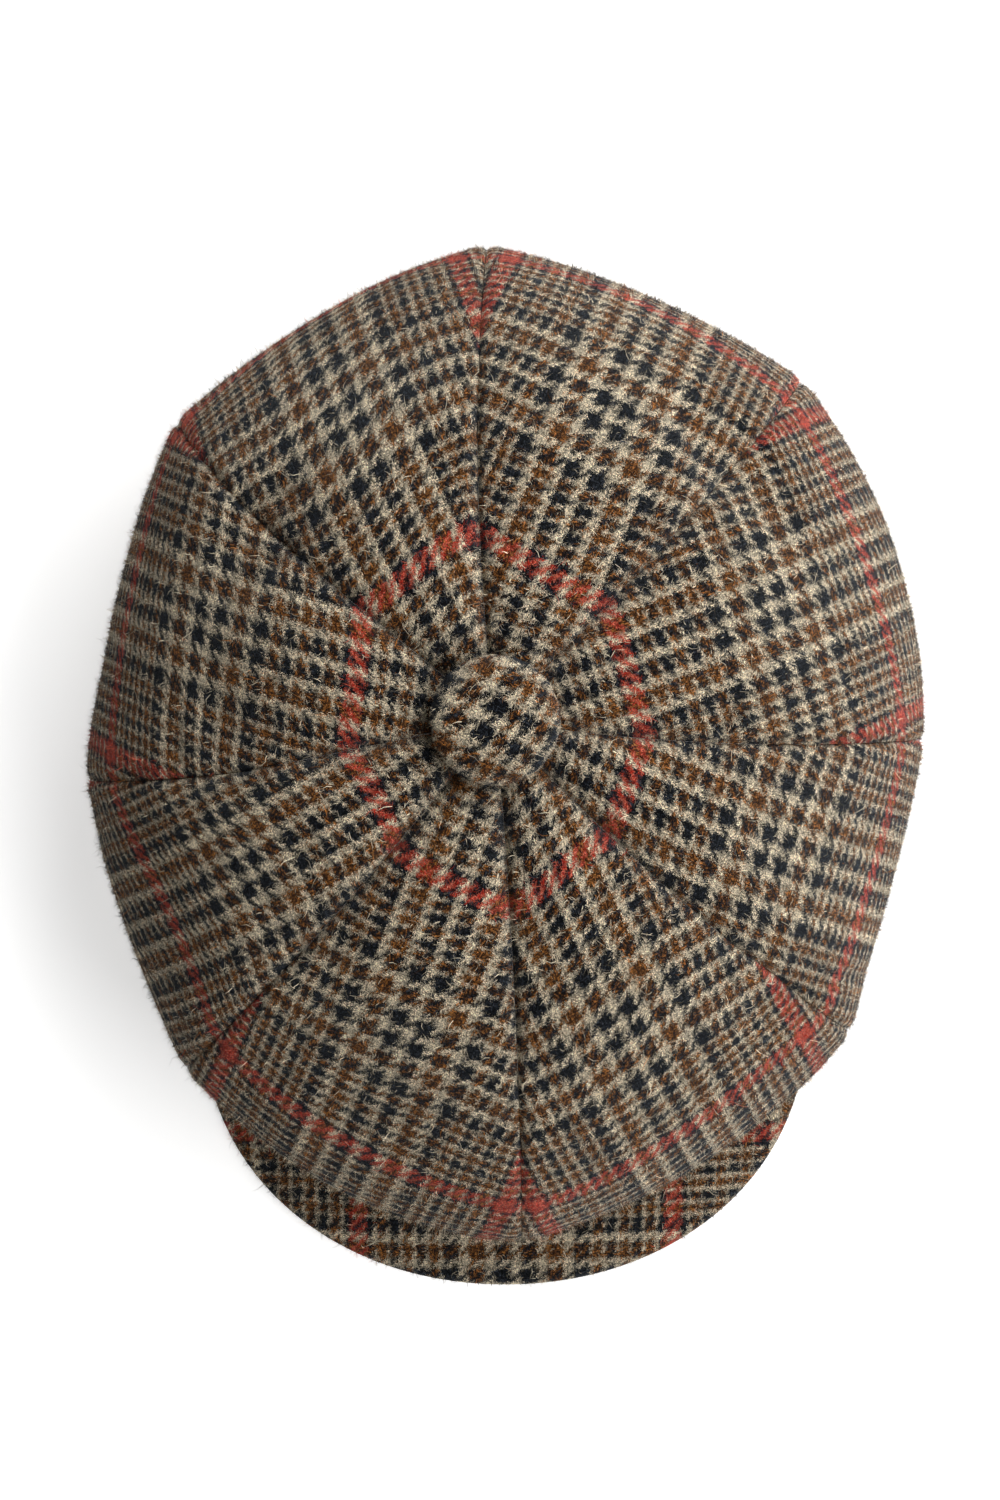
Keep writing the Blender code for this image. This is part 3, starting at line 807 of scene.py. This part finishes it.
def short_fuzz(face, threads, seed, random):
    """The fuzz between the hairs, single slivers, longer in some tufts, as points and thread counts."""
    root, normal, along, counts = scattered(face, threads, FUZZ_PER_SQUARE_CM, random)
    count = len(root)
    rise = random.uniform(*FUZZ_RISE, (count, 1))
    tuft = 1 + waves(root, TUFT_WIDTHS, seed)[:, None]
    length = FUZZ_LENGTH * tuft * random.gamma(LENGTH_EVENNESS, 1 / LENGTH_EVENNESS, (count, 1))
    side = np.cross(normal, along) * FIBRE_WIDTH / 2
    tip = root + (along * np.sqrt(1 - rise**2) + normal * rise) * length
    return np.stack((root - side, tip, root + side), axis=1).reshape(-1, 3), counts


def add_nap(name, face, threads, seed, material):
    """The loose fibres on a cloth face, each with the colour of a yarn close to its root.

    None of them reaches into the surface that the cap rests on.
    """
    random = np.random.default_rng(seed)
    hairs, hair_faces, hair_counts = bent_hairs(face, threads, random)
    fuzz, fuzz_counts = short_fuzz(face, threads, seed, random)
    fuzz_faces = len(hairs) + np.arange(len(fuzz)).reshape(-1, FUZZ_POINTS)
    points = np.concatenate((hairs, fuzz))
    points[:, 2] = np.maximum(points[:, 2], FIBRE_ROOT)
    hair_counts = hair_counts + random.normal(scale=HAIR_STRAY, size=hair_counts.shape)
    fuzz_counts = fuzz_counts + random.normal(scale=FUZZ_STRAY, size=fuzz_counts.shape)
    repeated = (np.repeat(hair_counts, HAIR_POINTS, axis=0), np.repeat(fuzz_counts, FUZZ_POINTS, axis=0))
    faces = np.concatenate((hair_faces, fuzz_faces))
    return add_piece(name, points, faces, np.concatenate(repeated), material, sharp_degrees=180)


def linear(hex_colour):
    """An sRGB hex colour as linear red, green, blue and alpha."""
    channels = np.array([int(hex_colour[place : place + 2], 16) for place in (1, 3, 5)]) / 255
    curved = ((channels + 0.055) / 1.055) ** 2.4
    return (*np.where(channels <= 0.04045, channels / 12.92, curved).tolist(), 1.0)


def add_node(tree, kind, inputs=(), **settings):
    """Adds a shader node with its settings, and sets or links its inputs by name or number."""
    node = tree.nodes.new("ShaderNode" + kind)
    for name, value in settings.items():
        setattr(node, name, value)
    for socket, value in dict(inputs).items():
        if isinstance(value, bpy.types.NodeSocket):
            tree.links.new(value, node.inputs[socket])
        else:
            node.inputs[socket].default_value = value
    return node


def set_yarn_ramp(ramp, shade):
    """Fills a stepped colour ramp with the check's order, one of the two shades of every yarn.

    Its alpha is the level at which the yarn's flecks show.
    """
    ramp.interpolation = "CONSTANT"
    ramp.elements.remove(ramp.elements[1])
    total = sum(count for _, count in YARN_ORDER)
    place = 0
    before = None
    for yarn, count in YARN_ORDER:
        spread = MILLED_SPREAD * ((yarn == "cream") - (before == "cream") + (before == "red"))
        stop = ramp.elements.new((place + spread) / total) if before else ramp.elements[0]
        stop.color = (*linear(YARN_SHADES[yarn][shade])[:3], YARN_SHADES[yarn][2])
        place += count
        before = yarn


def shaken_counts(tree, counts):
    """Thread counts moved about by fibre-sized noise, as milling moved the fibres."""
    shaken = counts
    for scale, reach in FIBRE_SHAKES:
        noise_inputs = {"Vector": counts, "Scale": scale, "Detail": 2.0}
        noise = add_node(tree, "TexNoise", noise_inputs, noise_dimensions="2D").outputs["Color"]
        moved = {0: noise, 1: (reach, reach, 0), 2: shaken}
        shaken = add_node(tree, "VectorMath", moved, operation="MULTIPLY_ADD").outputs[0]
    middle = sum(reach for _, reach in FIBRE_SHAKES) / 2
    centred = {0: shaken, 1: (middle, middle, 0)}
    return add_node(tree, "VectorMath", centred, operation="SUBTRACT").outputs[0]


def twill(tree, shaken):
    """The count of the thread on top, and 1 where that is a warp.

    In whole threads, the warp is on top where (warp + weft + 3) modulo 4 is under 2.
    """
    whole = add_node(tree, "VectorMath", {0: shaken}, operation="FLOOR").outputs[0]
    summed = add_node(tree, "VectorMath", {0: whole, 1: (1, 1, 0)}, operation="DOT_PRODUCT")
    step = {0: summed.outputs["Value"], 1: float(TWILL_START)}
    started = add_node(tree, "Math", step, operation="ADD").outputs[0]
    cycle = {0: started, 1: float(TWILL_THREADS)}
    phase = add_node(tree, "Math", cycle, operation="FLOORED_MODULO").outputs[0]
    under_two = {0: phase, 1: TWILL_THREADS / 2 - 0.5}
    warp_over = add_node(tree, "Math", under_two, operation="LESS_THAN").outputs[0]
    split = add_node(tree, "SeparateXYZ", {0: shaken})
    either = {0: warp_over, 2: split.outputs["Y"], 3: split.outputs["X"]}
    return add_node(tree, "Mix", either, data_type="FLOAT").outputs[0], warp_over


def yarn_shades(tree, upper):
    """The two shades of the thread on top, by its place in the repeat, mirrored about its middle."""
    repeat = {0: upper, 1: float(REPEAT)}
    place = add_node(tree, "Math", repeat, operation="FLOORED_MODULO").outputs[0]
    mirrored = add_node(tree, "Math", {0: float(REPEAT), 1: place}, operation="SUBTRACT").outputs[0]
    folded = add_node(tree, "Math", {0: place, 1: mirrored}, operation="MINIMUM").outputs[0]
    share = add_node(tree, "Math", {0: folded, 1: 2 / REPEAT}, operation="MULTIPLY").outputs[0]
    shades = []
    for number in (0, 1):
        shades.append(add_node(tree, "ValToRGB", {0: share}))
        set_yarn_ramp(shades[number].color_ramp, number)
    return shades


def lying_fibres(tree, counts, warp_over):
    """Noise that is long down the warp or along the weft, as fibres lie along their yarn."""
    stretches = ((FIBRE_ALONG, FIBRE_ACROSS, 1.0), (FIBRE_ACROSS, FIBRE_ALONG, 1.0))
    along_weft, along_warp = (
        add_node(tree, "VectorMath", {0: counts, 1: stretch}, operation="MULTIPLY").outputs[0]
        for stretch in stretches
    )
    ways = {0: warp_over, 4: along_weft, 5: along_warp}
    lie = add_node(tree, "Mix", ways, data_type="VECTOR").outputs[1]
    noise_inputs = {"Vector": lie, "Scale": 1.0, "Detail": 3.0, "Roughness": 0.65}
    return add_node(tree, "TexNoise", noise_inputs, noise_dimensions="2D").outputs["Fac"]


def uneven_tone(tree, counts, upper):
    """A tone about 1: every yarn is spun a little lighter or darker, and cloth soils unevenly."""
    yarn = add_node(tree, "Math", {0: upper}, operation="FLOOR").outputs[0]
    chance = add_node(tree, "TexWhiteNoise", {"W": yarn}, noise_dimensions="1D").outputs["Value"]
    tone = add_node(tree, "MapRange", {0: chance, 3: YARN_TONES[0], 4: YARN_TONES[1]}).outputs[0]
    below, above = SOILING_LEVELS
    for scale, low, high in SOILING:
        noise_inputs = {"Vector": counts, "Scale": scale, "Detail": 3.0, "Roughness": 0.6}
        patch = add_node(tree, "TexNoise", noise_inputs, noise_dimensions="2D").outputs["Fac"]
        shade = add_node(tree, "MapRange", {0: patch, 1: below, 2: above, 3: low, 4: high}).outputs[0]
        tone = add_node(tree, "Math", {0: tone, 1: shade}, operation="MULTIPLY").outputs[0]
    return tone


def thread_bead(tree, shaken):
    """1 on the round back of each thread, falling to 0 in the crevice between it and the next."""
    within = add_node(tree, "VectorMath", {0: shaken}, operation="FRACTION").outputs[0]
    middle = {0: within, 1: (0.5, 0.5, 0)}
    distance = add_node(tree, "VectorMath", middle, operation="DISTANCE").outputs["Value"]
    full, gone = BEAD_REACH
    return add_node(tree, "MapRange", {0: distance, 1: full, 2: gone, 3: 1.0, 4: 0.0}).outputs[0]


def tweed(name, weave=True):
    """Milled wool tweed in a two-and-two twill.

    What it gives the eye: soft blocks of cream, navy and rust with ragged fibrous edges, a matt
    face without any gloss, and a pale bloom of fibre where the cloth turns away. Shade is painted
    into the colour in the crevices between threads, and light on their crests.
    The upper thread's place in the repeat picks its yarn. With weave off it is the wool of the loose
    fibres, which blur the cloth's outline and its checks: the thread counts aren't shaken, and the
    threads have no beads.
    """
    made = bpy.data.materials.new(name)
    made.use_nodes = True
    tree = made.node_tree
    shader = tree.nodes["Principled BSDF"]
    counts = add_node(tree, "UVMap", uv_map="threads").outputs["UV"]
    shaken = shaken_counts(tree, counts) if weave else counts
    upper, warp_over = twill(tree, shaken)
    body, fleck = yarn_shades(tree, upper)
    fibre = lying_fibres(tree, counts, warp_over)
    level = {0: fibre, 1: body.outputs["Alpha"]}
    over_level = add_node(tree, "Math", level, operation="SUBTRACT").outputs[0]
    flecked = add_node(tree, "MapRange", {0: over_level, 1: 0.0, 2: FLECK_EDGE}).outputs[0]
    blend = {0: flecked, 6: body.outputs["Color"], 7: fleck.outputs["Color"]}
    heather = add_node(tree, "Mix", blend, data_type="RGBA").outputs[2]
    tone = uneven_tone(tree, counts, upper)
    if weave:
        bead = thread_bead(tree, shaken)
        # Painted shade and light: the colour is darkened in the crevices between threads and lightened on
        # their crests
        dark, light = PAINTED_BEAD_SHADE_AND_LIGHT
        crevice = add_node(tree, "MapRange", {0: bead, 3: dark, 4: light}).outputs[0]
        tone = add_node(tree, "Math", {0: tone, 1: crevice}, operation="MULTIPLY").outputs[0]
        relief = {0: fibre, 1: FIBRE_HEIGHT, 2: bead}
        height = add_node(tree, "Math", relief, operation="MULTIPLY_ADD").outputs[0]
        bump = add_node(tree, "Bump", {"Strength": 0.8, "Distance": BEAD_HEIGHT, "Height": height})
        tree.links.new(bump.outputs["Normal"], shader.inputs["Normal"])
    colour = add_node(tree, "VectorMath", {0: heather, "Scale": tone}, operation="SCALE").outputs[0]
    tree.links.new(colour, shader.inputs["Base Color"])
    shader.inputs["Roughness"].default_value = 0.92
    shader.inputs["Specular IOR Level"].default_value = 0.08
    shader.inputs["Sheen Weight"].default_value = 0.22
    shader.inputs["Sheen Roughness"].default_value = 0.3
    shader.inputs["Sheen Tint"].default_value = linear("#C6D0DC")
    return made


def add_floor():
    """A wide level table, not part of the cap.

    It is cast opal acrylic lit from below, which gives the eye a white, faintly mottled, glowing ground.
    """
    corners = np.array(((-1, -1, 0), (1, -1, 0), (1, 1, 0), (-1, 1, 0))) * FLOOR_HALF
    mesh = bpy.data.meshes.new("studio_floor")
    mesh.from_pydata(corners.tolist(), [], [(0, 1, 2, 3)])
    made = bpy.data.materials.new("lit_opal_acrylic")
    made.use_nodes = True
    tree = made.node_tree
    shader = tree.nodes["Principled BSDF"]
    place = add_node(tree, "TexCoord").outputs["Object"]
    grain = add_node(tree, "TexNoise", {"Vector": place, "Scale": 60.0, "Detail": 4.0})
    shades = {0: grain.outputs["Fac"], 6: linear("#F6F6F5"), 7: linear("#FAFAF9")}
    tint = add_node(tree, "Mix", shades, data_type="RGBA")
    tree.links.new(tint.outputs[2], shader.inputs["Base Color"])
    shader.inputs["Roughness"].default_value = 0.9
    shader.inputs["Specular IOR Level"].default_value = 0.1
    shader.inputs["Emission Color"].default_value = linear("#FFFFFF")
    shader.inputs["Emission Strength"].default_value = FLOOR_LIGHT
    mesh.materials.append(made)
    floor = bpy.data.objects.new("studio_floor", mesh)
    bpy.context.scene.collection.objects.link(floor)


def add_light(name, place, size, power):
    """A square soft light at a place, turned to face the cap and unseen by the camera.

    Its size is the length of its side in metres, and its power is in watts.
    """
    data = bpy.data.lights.new(name, "AREA")
    data.shape = "SQUARE"
    data.size = size
    data.energy = power
    light = bpy.data.objects.new(name, data)
    way = np.array(LIT_POINT) - np.array(place)
    light.location = place
    light.rotation_mode = "QUATERNION"
    light.rotation_quaternion = Vector(way).to_track_quat("-Z", "Y")
    light.visible_camera = False
    bpy.context.scene.collection.objects.link(light)


def add_camera():
    """A camera above the cap, which looks straight down with its upper side to the cap's back."""
    data = bpy.data.cameras.new("camera")
    data.lens = CAMERA_LENS
    data.sensor_width = CAMERA_SENSOR
    camera = bpy.data.objects.new("camera", data)
    camera.location = CAMERA_PLACE
    bpy.context.scene.collection.objects.link(camera)
    bpy.context.scene.camera = camera


def set_world(strength):
    """Even pale light from all round."""
    world = bpy.data.worlds.new("studio")
    world.use_nodes = True
    back = world.node_tree.nodes["Background"]
    back.inputs["Color"].default_value = linear("#FFFFFF")
    back.inputs["Strength"].default_value = strength
    bpy.context.scene.world = world


cloth = tweed("milled_wool_tweed")
fibre = tweed("loose_wool_fibre", weave=False)
panels, crown_top_rows = add_crown(cloth)
band, band_face, band_threads = add_band(cloth)
peak, peak_face, peak_threads = add_peak(cloth)
button, button_face, button_threads = add_button(crown_top_rows, cloth)

dressed = [
    (name, *made, "crown_tweed", "draped", NARROW_CUT if name in NARROW_PANELS else WIDE_CUT, ["head_band"])
    for name, made in panels.items()
]
dressed.append(("head_band", band, band_face, band_threads, "band_tweed", "folded", BAND_CUT, []))
dressed.append(
    ("peak", peak, peak_face, peak_threads, "peak_tweed", "stretched", PEAK_CUT, ["head_band"])
)
dressed.append(
    ("crown_button", button, button_face, button_threads, "button_tweed", "padded", None, [])
)
for number, (node, piece, face, threads, slot, held, cut, holders) in enumerate(dressed):
    nap = add_nap(node + "_nap", face, threads, NAP_SEED + number, fibre)
    for part in (piece, nap):
        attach(part, "root")
    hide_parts(node)

add_floor()
add_camera()
set_world(ROOM_LIGHT)
for soft_light in SOFT_LIGHTS:
    add_light(*soft_light)
bpy.context.scene.view_settings.view_transform = "Standard"
